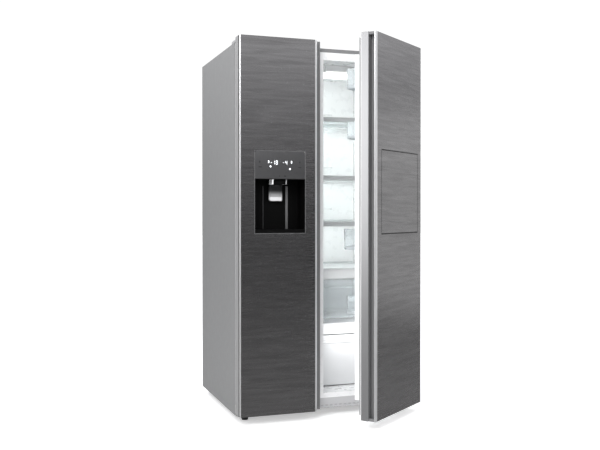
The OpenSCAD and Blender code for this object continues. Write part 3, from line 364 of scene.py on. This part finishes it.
def ring(x0, x1, z0, z1, profile, put=place):
    """A mitred ring round an upright rectangle: each (inset, y) of a closed profile goes round."""
    corners = ((x0, z0, 1, 1), (x1, z0, -1, 1), (x1, z1, -1, -1), (x0, z1, 1, -1))
    loops = [[(cx + sx * i, y, cz + sz * i) for i, y in profile] for cx, cz, sx, sz in corners]
    return grid(put(loops), True, True)


right_hinge = next(j for j in frame["joints"] if j["name"] == "right_door_hinge")
bellows = [(3, 73), (11, 73), (11, 75), (12.6, 76.4), (12.6, 77.4), (11.4, 78.6), (13.4, 80), (14, 81.8),
           (13.2, 83.3), (12, 83.7), (2, 83.7), (0.8, 83.3), (0, 81.8), (0.6, 80), (2.6, 78.6), (1.4, 77.4),
           (1.4, 76.4), (3, 75)]
gasket_grey = moulded("gasket_grey", (0.33, 0.33, 0.335), 0.6, 900.0, 0.0001)
fit(build("left_gasket_bellows", [ring(-426, -48, 64, 1766, bellows)], gasket_grey),
    "left_door", "gasket_grey", "left_gasket")
fit(build("right_gasket_bellows", [ring(-34, 426, 64, 1766, bellows, swing)], gasket_grey),
    "right_door", "gasket_grey", "right_gasket")


# ------------------------------------------------------------------ door bins
# Clear moulded bins on ledges of the door liners, each with a thicker frosted band round its foot.
# Each bay gives the height of the bin's floor, the bin's own height and its depth.
def outline(x0, x1, y0, y1, radii, steps=8):
    """A rectangle with round corners: each corner is centre + r (cos t, sin t) over 90 degrees."""
    radii = [radii] * 4 if np.isscalar(radii) else radii
    corners = ((x1, y1, -1, -1), (x0, y1, 1, -1), (x0, y0, 1, 1), (x1, y0, -1, 1))
    t = np.radians(np.linspace(0, 90, steps + 1))
    arcs = []
    for k, ((cx, cy, sx, sy), r) in enumerate(zip(corners, radii)):
        r = max(r, 0.3)
        turn = t + k * math.pi / 2
        arcs.append(np.stack([cx + sx * r + r * np.cos(turn), cy + sy * r + r * np.sin(turn)], -1))
    return np.concatenate(arcs)


def skin(rings, put=place):
    """A closed skin through rings (rings, points, 3), with a flat face over each end."""
    rings = np.asarray(rings, float)
    count, around = rings.shape[:2]
    points, faces = grid(put(rings), False, True)
    ends = [list(range(around)), list(range((count - 1) * around, count * around))]
    return points, faces + ends


def stack(low, high, radii, steps, axis=2, put=place):
    """Round-cornered rings along an axis: each (inset, height) step draws one, closed as a skin."""
    a, b = ((1, 2), (2, 0), (0, 1))[axis]
    rings = []
    for inset, height in steps:
        r = [max(c - inset, 0.3) for c in ([radii] * 4 if np.isscalar(radii) else radii)]
        flat = outline(low[a] + inset, high[a] - inset, low[b] + inset, high[b] - inset, r)
        loop = np.empty((len(flat), 3))
        loop[:, a], loop[:, b], loop[:, axis] = flat[:, 0], flat[:, 1], height
        rings.append(loop)
    return skin(rings, put)


def cup(low, high, wall, r, taper=0.0, fillet=5.0, put=place):
    """An open box. From rim to floor it shrinks by taper; its foot is a fillet of radius f:
    inset f (1 - sin t), height f (1 - cos t). The inside is the same, one wall further in."""
    z0, z1 = low[2], high[2]
    t = np.radians(np.linspace(0, 90, 6))
    outside = [(fillet * (1 - math.sin(a)), z0 + fillet * (1 - math.cos(a))) for a in t]
    inside = [(wall + i, z + wall) for i, z in reversed(outside)]
    rim = [(wall * f, z1 - wall * d) for f, d in ((0, 0.5), (0.15, 0.15), (0.5, 0), (0.85, 0.15), (1, 0.5))]
    steps = [(i + taper * (z1 - z) / (z1 - z0), z) for i, z in outside + rim + inside]
    return stack(low, high, r, steps, 2, put)


def block(low, high, r=2.0, edge=0.8, axis=2, put=place):
    """A solid block, its four edges along the axis rounded by r and the others by edge."""
    t = np.radians(np.linspace(0, 90, 4))
    foot = [(edge * (1 - math.sin(a)), low[axis] + edge * (1 - math.cos(a))) for a in t]
    top = [(i, low[axis] + high[axis] - z) for i, z in reversed(foot)]
    return stack(low, high, r, foot + top, axis, put)


def clear(name, colour, rough, weight):
    """Clear plastic or glass, with faint flow marks in its gloss."""
    finish, tree, shader = base_finish(name, colour, rough)
    shader.inputs["Transmission Weight"].default_value = weight
    shader.inputs["IOR"].default_value = 1.25
    marks = noise(tree, 20.0, 2.0, (1, 1, 4))
    tree.links.new(spread(tree, marks, rough * 0.7, rough * 1.3), shader.inputs["Roughness"])
    return finish


def see_through(piece):
    """Lets light past a clear piece, which would otherwise throw a black shadow."""
    piece.visible_shadow = False
    return piece


clear_plastic = clear("clear_plastic", (0.93, 0.96, 0.97), 0.06, 0.92)
frosted = clear("frosted_plastic", (0.62, 0.66, 0.68), 0.35, 0.55)
BIN_WALL, BIN_Y0, BAND_H = 2.5, 73, 15
bin_corners = (22, 22, 4, 4)
left_bays = ((1538, 86, 100), (1332, 86, 100), (698, 86, 100), (483, 86, 100))
right_bays = ((1550, 93, 117), (1319, 79, 117), (806, 96, 132), (508, 83, 117))
for side, body, put, x0, x1, bays in (("left", "left_door", place, -369, -107, left_bays),
                                      ("right", "right_door", swing, 25, 369, right_bays)):
    cups, bands = [], []
    for z, height, deep in bays:
        low, high = (x0, BIN_Y0, z), (x1, BIN_Y0 + deep, z + height)
        cups.append(cup(low, high, BIN_WALL, bin_corners, 3.0, 6.0, put))
        band = [(5.0, z), (2.4, z + 2), (2.1, z + BAND_H), (5.0, z + BAND_H)]
        bands.append(stack(low, high, bin_corners, band, 2, put))
    fit(see_through(build(side + "_clear_bins", cups, clear_plastic)), body, "clear_bin",
        side + "_bins")
    fit(see_through(build(side + "_bin_bands", bands, frosted)), body, "clear_bin")

# ------------------------------------------------------------------ shelves
# Toughened glass plates held in pale moulded frames; the front rail has one thin groove.
glass = clear("shelf_glass", (0.84, 0.95, 0.93), 0.03, 0.92)
wear(glass, "shelf_glass")
see_through(frame["nodes"]["shelf_glass"])
trim_white = moulded("shelf_trim", (0.56, 0.57, 0.575), 0.3, 500.0)


def rail(profile, start, end, axis=0, put=place):
    """A straight rail: a closed profile in the other two axes, from start to end along the axis."""
    a, b = ((1, 2), (2, 0), (0, 1))[axis]
    rings = np.zeros((2, len(profile), 3))
    for loop, at in zip(rings, (start, end)):
        loop[:, a], loop[:, b] = np.asarray(profile, float).T
        loop[:, axis] = at
    return skin(rings, put)


def shelf_frame(top, height, front=220.0, back=668.0, left=-4.0, right=398.0):
    """The frame under one shelf plate: a grooved front rail, two side rails and a rear rail."""
    low = top - height
    crown = [(front + 14, low), (front + 14, top), (front + 3, top), (front + 0.8, top - 0.9)]
    groove = [(front, top - 3), (front, top - 6), (front + 1.2, top - 6.6), (front + 1.2, top - 7.6)]
    foot = [(front, top - 8.2), (front, low + 3), (front + 0.8, low + 0.9), (front + 3, low)]
    nose = crown + groove + foot
    return [rail(nose, left, right),
            block((left, front + 14, top - 17), (left + 12, back, top - 1)),
            block((right - 12, front + 14, top - 17), (right, back, top - 1)),
            block((left + 12, back - 12, top - 17), (right - 12, back, top + 6))]


frames = []
for top in (1457.0, 1164.0, 933.3):
    frames += shelf_frame(top, 25.0)
fit(build("shelf_frames", frames, trim_white), "cabinet", "shelf_trim", "shelf_trims")
for name, node, finish, top, height in (("crisper_lid", "crisper_cover", trim_white, 698.0, 54.0),
                                        ("drawer_shelf", "drawer_divider", white_plastic, 424.0, 57.0)):
    plate = block((0, 230, top - 8), (394, 660, top - 3))
    fit(build(name, shelf_frame(top, height) + [plate], finish), "cabinet", "shelf_trim", node)


# ------------------------------------------------------------------ drawers
# Moulded drawers, deep cups behind a slightly larger front with a finger grip across it.
def drawer(x0, x1, y0, y1, z0, z1, grip):
    """A drawer: a tapering cup, a front plate and the grip, a rounded bar lying across the plate."""
    return [cup((x0, y0 + 3, z0), (x1, y1, z1), 2.5, 12, 5.0, 8.0),
            block((x0 - 3, y0, z0), (x1 + 3, y0 + 4, z1), 6.0, 1.0, 1),
            block((x0 + 30, y0 - 8, z1 - grip), (x1 - 30, y0 + 2, z1 - grip + 10), 4.0, 3.0, 0)]


crisper_box = build("crisper_box", drawer(2, 392, 220, 656, 447, 640, 43), clear_plastic)
fit(see_through(crisper_box), "crisper", "clear_bin", "crisper_drawer")
fit(build("lower_box", drawer(2, 392, 220, 448, 112, 363, 40), white_plastic),
    "lower_crisper", "white_drawer", "lower_drawer")
fit(build("freezer_box_shell", drawer(-392, -84, 240, 448, 112, 414, 40), white_plastic),
    "freezer_box", "white_drawer", "freezer_drawer")
tray_parts = [cup((6, 220, 1405), (388, 520, 1430), 2.5, 10, 3.0, 4.0)]
tray_parts += [block((x, 226, 1427), (x + 9, 520, 1430), 1.0) for x in (-2, 387)]
fit(see_through(build("tray_shell", tray_parts, clear_plastic)), "tray", "clear_bin", "shallow_tray")
wear(clear_plastic, "ice_bucket")

# ------------------------------------------------------------------ door edge profiles
# Satin aluminium profiles run up both edges of each door. In front is a rolled bright strip. Behind
# it, on the hinge side, lies a black strip painted as a shadow line, and then the grey edge of the door pan;
# on the free side a finger groove 29 deep, lined with a dark grey sheet as painted shade and closed at its
# ends, and the pan's pale edge.
edge_satin = metal("edge_satin", (0.54, 0.54, 0.55), 0.33, 900.0, (1, 1, 0.02))
shader_of(edge_satin).inputs["Metallic"].default_value = 0.9
edge_bright = metal("edge_bright", (0.86, 0.86, 0.87), 0.3, 900.0, (1, 1, 0.02))
shader_of(edge_bright).inputs["Metallic"].default_value = 0.75
# The groove's dark grey lining is painted shade for its shadowed inside.
groove_painted_shade = moulded("groove_painted_shade", (0.17, 0.17, 0.174), 0.4, 700.0)
# A nearly flush black strip on the hinge side: a painted shadow line.
painted_shadow_black = moulded("painted_shadow_black", (0.02, 0.02, 0.02), 0.6, 700.0)
pan_grey = moulded("pan_grey", (0.27, 0.27, 0.274), 0.4, 420.0, 0.00004)
REAR_Y, GROOVE_Y = 71.0, 34.0
SHADOW_X0, SHADOW_X1, SHADOW_Y0, SHADOW_Y1 = 0.4, 8.0, 5.0, 21.0
PAN_WALL, LINING = 4.0, 0.6
HINGE_STRIP, LAP_END = 6.0, 10.0


def strip(edge, inner, thick):
    """A strip from the door's edge to inner, its front corner rolled off, thick at the edge."""
    s = math.copysign(1.0, inner - edge)
    roll = [(edge + s * x, y) for x, y in ((0, 3.6), (0.3, 2.3), (1.3, 1.1), (2.9, 0.2), (5, -0.3))]
    return [(edge, thick)] + roll + [(inner, -0.3), (inner, thick)]


def upright(profile, put, trim=0.0):
    """A rail over the door's height, from (x, y) points, shorter by trim at both ends."""
    return rail(profile, DOOR_Z0 + trim, DOOR_Z1 - trim, 2, put)


def box_of(x0, x1, y0, y1):
    """The four corners of an upright rail's profile."""
    return [(x0, y0), (x1, y0), (x1, y1), (x0, y1)]


for side, body, put, lip, wide, thick, pan, deep, hinge in (
        ("left", "left_door", place, -71.0, -10.0, 8.0, -44.0, -100.0, -447.5),
        ("right", "right_door", swing, -37.0, 20.0, 4.8, -38.0, -8.0, 447.5)):
    s = math.copysign(1.0, deep - lip)
    inward = -math.copysign(1.0, hinge)
    fronts = [upright(strip(lip, lip + wide, thick), put),
              upright(strip(hinge, hinge + HINGE_STRIP * inward, SHADOW_Y0), put)]
    fit(build(side + "_front_strips", fronts, edge_bright), body, "bright_edge")
    lap = box_of(hinge + HINGE_STRIP * inward, hinge + LAP_END * inward, 0.0, SHADOW_Y0)
    fit(build(side + "_skin_lap", [upright(lap, put)], door_steel), body, "bright_edge")
    free = [(pan, REAR_Y), (pan, GROOVE_Y + 1), (pan + s, GROOVE_Y), (pan + PAN_WALL * s, GROOVE_Y),
            (pan + PAN_WALL * s, REAR_Y)]
    fit(build(side + "_free_edge", [upright(free, put)], edge_satin), body, "bright_edge", side + "_edges")
    fixed = box_of(hinge, hinge + PAN_WALL * inward, SHADOW_Y1, REAR_Y)
    fit(build(side + "_hinge_edge", [upright(fixed, put)], pan_grey), body, "bright_edge")
    channel = [(lip, thick), (deep, thick), (deep, GROOVE_Y), (pan, GROOVE_Y), (pan, GROOVE_Y - LINING),
               (deep - LINING * s, GROOVE_Y - LINING), (deep - LINING * s, thick + LINING),
               (lip, thick + LINING)]
    ends = [block((min(lip + s, deep), thick, z), (max(lip + s, deep), GROOVE_Y, z + 12), 1.0, 0.6, 2, put)
            for z in (DOOR_Z0 + 1, DOOR_Z1 - 14)]
    fit(build(side + "_groove_channel", [upright(channel, put, 1.0)] + ends, groove_painted_shade), body, "cap_grey")
    shadow = box_of(hinge + SHADOW_X1 * inward, hinge + SHADOW_X0 * inward, SHADOW_Y0, SHADOW_Y1)
    fit(build(side + "_shadow_line", [upright(shadow, put, 1.0)], painted_shadow_black), body, "cap_grey")

# ------------------------------------------------------------------ bar door seam
# A black lip seal fills the narrow seam between the home bar's door and the door round it; wider black strips
# over its top and bottom seams are painted shadow.
seam = [(0, 0.9), (0, -0.1), (0.4, -0.25), (2.8, -0.25), (3.2, -0.1), (3.2, 0.9)]
# Black strips over the top and bottom seams only: painted shadow, so that these seams read darker and wider.
painted_seam_shadows = [block((24, -0.3, z - 2.6), (408.5, 0.9, z + 2.6), 1.0, 0.2, 0, swing) for z in (881.5, 1263.5)]
fit(build("bar_seam", [ring(22.9, 409.6, 880.9, 1264.1, seam, swing)] + painted_seam_shadows, black_plastic),
    "right_door", "rubber_black")

# ------------------------------------------------------------------ toe grille backing
# A grey filter strip behind the air slots of the toe grille.
filter_grey = moulded("filter_grey", (0.40, 0.40, 0.41), 0.8, 300.0, 0.0003)
fit(build("grille_backing", [block((-409, 86.6, 38), (409, 87.6, 82), 0.5, 0.3, 1)], filter_grey),
    "cabinet", "black_plastic")

# ------------------------------------------------------------------ toe corners
# Small grey closing plates beside the toe grille, behind the lower hinges, 34 wide and 46 high.
corners = [block((x, 85.0, 37.0), (x + 34, 87.8, 83.4), 1.0, 0.5, 1) for x in (-446, 412)]
fit(build("toe_corners", corners, sill_grey), "cabinet", "black_plastic")

# ------------------------------------------------------------------ hinge covers
# Moulded caps over the upper hinges, round-shouldered, screwed to the cabinet top.
t = np.radians(np.linspace(0, 90, 6))
shoulder = [(0.0, 1767.0)] + [(9 * (1 - math.cos(a)), 1783 + 9 * math.sin(a)) for a in t]
covers = [stack((x0, 88, 1767), (x1, 196, 1792), (18, 18, 4, 4), shoulder) for x0, x1 in
          ((-437.5, -363.5), (363.5, 437.5))]
fit(build("hinge_caps", covers, grey_plastic), "cabinet", "grey_plastic", "hinge_covers")


# ------------------------------------------------------------------ feet and rollers
# Black adjusting feet on threaded stems in front, and two rollers on one axle behind.
def turned(profile, centre, axis=2, steps=48, put=place):
    """A turned skin: each (radius, distance) of the profile goes round the axis through centre."""
    around = np.arange(steps) * 2 * math.pi / steps
    profile = np.asarray(profile, float)
    a, b = ((1, 2), (2, 0), (0, 1))[axis]
    rings = np.zeros((len(profile), steps, 3)) + centre
    rings[..., a] += profile[:, :1] * np.cos(around)
    rings[..., b] += profile[:, :1] * np.sin(around)
    rings[..., axis] += profile[:, 1:]
    return skin(rings, put)


foot = [(13, 0), (15, 0.6), (16, 2.4), (16, 8), (15, 9.4), (9, 10), (9, 12)]
foot += [(5.0 + (k % 2) * 1.0, 12.5 + k * 0.75) for k in range(23)] + [(5, 30)]
for side, x in (("left", -387.5), ("right", 387.5)):
    fit(build(side + "_foot_pad", [turned(foot, (x, 130, 0))], black_plastic), side + "_foot", "rubber_black",
        "foot_" + side)
wheel = [(5.2, -11), (14, -11), (16.2, -10), (17, -8), (17, 8), (16.2, 10), (14, 11), (5.2, 11)]
rollers = [turned(wheel, (x, 725, 17), 0) for x in (-391.5, 391.5)]
rollers.append(turned([(4, -411.5), (4, 411.5)], (0, 725, 17), 0, 24))
fit(build("roller_set", rollers, black_plastic), "rollers", "black_plastic", "rear_rollers")

# ------------------------------------------------------------------ dispenser panel
# A dark gloss panel let into the left door: thin bright rim, round upper corners, a lit display.
panel_gloss = moulded("panel_gloss", (0.048, 0.048, 0.050), 0.35, 300.0, 0.00001)
rim_grey = moulded("rim_grey", (0.135, 0.135, 0.138), 0.4, 500.0)
x0, x1, z0, z1 = -375.0, -131.0, 1134.0, 1262.0
panel = stack((x0, 0, z0), (x1, 5, z1), (12, 1, 1, 12), [(0, 13.5), (0, 1.2), (0.4, 0.4), (1.2, 0.0)], 1)
fit(build("display_panel", [panel], panel_gloss), "left_door", "panel_grey", "dispenser_panel")
rim = ring(x0 - 2, x1 + 2, 881, z1 + 2, [(0, 0.6), (0, -0.4), (1.8, -0.4), (2.4, 0.6)])
fit(build("panel_rim", [rim], rim_grey), "left_door", "bright_edge")
# Black plastic painted darker than any real plastic, with little gloss, as painted shade deep in the
# dispenser recess.
recess_painted_shade_black = moulded("recess_painted_shade_black", (0.0015, 0.0015, 0.0015), 0.5, 500.0)
shader_of(recess_painted_shade_black).inputs["Specular IOR Level"].default_value = 0.12
wear(recess_painted_shade_black, "dispenser_housing", "drip_tray", "ice_flap")
display_glow = moulded("display_glow", (0.9, 0.93, 0.95), 0.4, 600.0, 0.00001)
glow(display_glow, (0.9, 0.95, 1.0), 1.2)
icon_print = moulded("icon_print", (0.020, 0.020, 0.021), 0.5, 600.0, 0.00001)
# The bars that each sign of a seven-bar display lights, and each bar's place: across, up, lying flat.
signs = {"-": "g", "1": "bc", "4": "fgbc", "8": "abcdefg"}
places = {"a": (0, 9, 1), "g": (0, 0, 1), "d": (0, -9, 1), "f": (-3.6, 4.5, 0), "b": (3.6, 4.5, 0),
          "e": (-3.6, -4.5, 0), "c": (3.6, -4.5, 0)}


def mark(x, z, wide, high, r):
    """A flat mark standing 0.2 proud of the panel."""
    return block((x - wide / 2, -0.2, z - high / 2), (x + wide / 2, 0.1, z + high / 2), r, 0.05, 1)


bars = []
for x, sign in ((-296, "-"), (-284, "1"), (-270, "8"), (-237, "-"), (-224, "4")):
    for letter in signs[sign]:
        dx, dz, flat = places[letter]
        bars.append(mark(x + dx, 1209 + dz, 6 if flat else 2, 2 if flat else 7.6, 0.8))
bars += [mark(-309, 1212, 5, 12, 2), mark(-198, 1212, 5, 12, 2), mark(-300, 1191, 8, 8, 3.8),
         mark(-206, 1180, 8, 8, 3.8)]
fit(build("display_digits", bars, display_glow), "left_door", "panel_grey")
icons = [mark(x, 1212, 7, 9, 3) for x in (-352, -158)] + [mark(x, 1188, 16, 5, 2) for x in (-350, -158)]
icons += [mark(x, 1147, w, w, w / 2 - 0.1) for x, w in ((-283, 4), (-257, 6), (-230, 8))]
fit(build("key_marks", icons, icon_print), "left_door", "panel_grey")


# ------------------------------------------------------------------ dispenser recess
# Funnel cheeks beside the ice chute, the near one painted near white as a highlight and the far one grey as
# its shaded copy; a dished paddle and its lower lip, painted dark above and pale below as shade and light; a
# rear rib.
def painted_shade_ramp(name, top, bottom, z_top, z_bottom, rough):
    """Plastic that pales down its height, painted shade above and painted light below: the tone follows (z -
    z_bottom) / (z_top - z_bottom).
    """
    finish, tree, shader = base_finish(name, bottom, rough, 0.0, 0.3)
    coords = tree.nodes.new("ShaderNodeTexCoord")
    parts = tree.nodes.new("ShaderNodeSeparateXYZ")
    tree.links.new(coords.outputs["Object"], parts.inputs[0])
    height = tree.nodes.new("ShaderNodeMapRange")
    height.interpolation_type = "SMOOTHSTEP"
    height.inputs["From Min"].default_value = z_bottom * MM
    height.inputs["From Max"].default_value = z_top * MM
    tree.links.new(parts.outputs["Z"], height.inputs["Value"])
    tree.links.new(blend_of(tree, height.outputs[0], bottom, top), shader.inputs["Base Color"])
    relief(tree, shader, noise(tree, 600.0), 0.2, 0.00003)
    return finish


def dish(x0, x1, z0, z1, y, deep, r):
    """A dished plate: round-cornered rings step from its back, over a 5 wide rim, into the hollow."""
    steps = [(1.5, y + 4), (0.4, y + 3.4), (0, y + 2), (0.6, y - 2.5), (2, y - 4), (4.4, y - 4), (6, y - 2.5),
             (8, y + deep - 5), (11, y + deep - 4)]
    return stack((x0, y, z0), (x1, y, z1), r, steps, 1)


# The paddle's tone is painted shade and light: near black under the recess ceiling, pale towards its foot
# where light from above falls.
paddle_grey = painted_shade_ramp("paddle_grey", (0.015, 0.015, 0.016), (0.55, 0.55, 0.56), 1085, 1040, 0.3)
paddle_parts = [dish(-286, -220, 1032, 1112, 75, 5.5, (6, 6, 12, 12)),
                turned([(5, -38.5), (5, 38.5)], (-253, 76, 1114), 0, 24)]
fit(build("paddle_plate", paddle_parts, paddle_grey), "paddle", "paddle_grey", "dispenser_paddle")
# The lower lip's pale silver is painted light, the light from above on its up-facing face.
lip_painted_light = moulded("lip_painted_light", (0.72, 0.72, 0.73), 0.25, 500.0)
fit(build("paddle_lip", [block((-281, 69.5, 1033.5), (-225, 76, 1052), 3.0, 2.0, 1)], lip_painted_light),
    "paddle", "paddle_grey")
# One funnel with lit and shaded copies: the near cheek is painted near white as a highlight, and the far
# cheek grey as its shaded side.
cheek_painted_highlight = moulded("cheek_painted_highlight", (0.90, 0.90, 0.91), 0.2, 500.0)
cheek = [(12, 1109), (62, 1109), (62, 1134), (8, 1134)]
fit(build("funnel_cheeks", [rail(cheek, -288.5, -283.0)], cheek_painted_highlight), "left_door", "bright_edge")
fit(build("funnel_cheek_far", [rail(cheek, -222.5, -218.5)], grey_plastic), "left_door", "bright_edge")
rib_grey = moulded("rib_grey", (0.13, 0.13, 0.133), 0.4)
fit(build("rear_rib", [block((-197, 94, 892), (-185, 98, 1104), 1.5, 1.0, 2)], rib_grey),
    "left_door", "paddle_grey")
fit(build("water_tube", [turned([(2.2, -204), (2.2, 6)], (-308, 95.6, 1098), 2, 20)], panel_gloss),
    "left_door", "panel_grey")
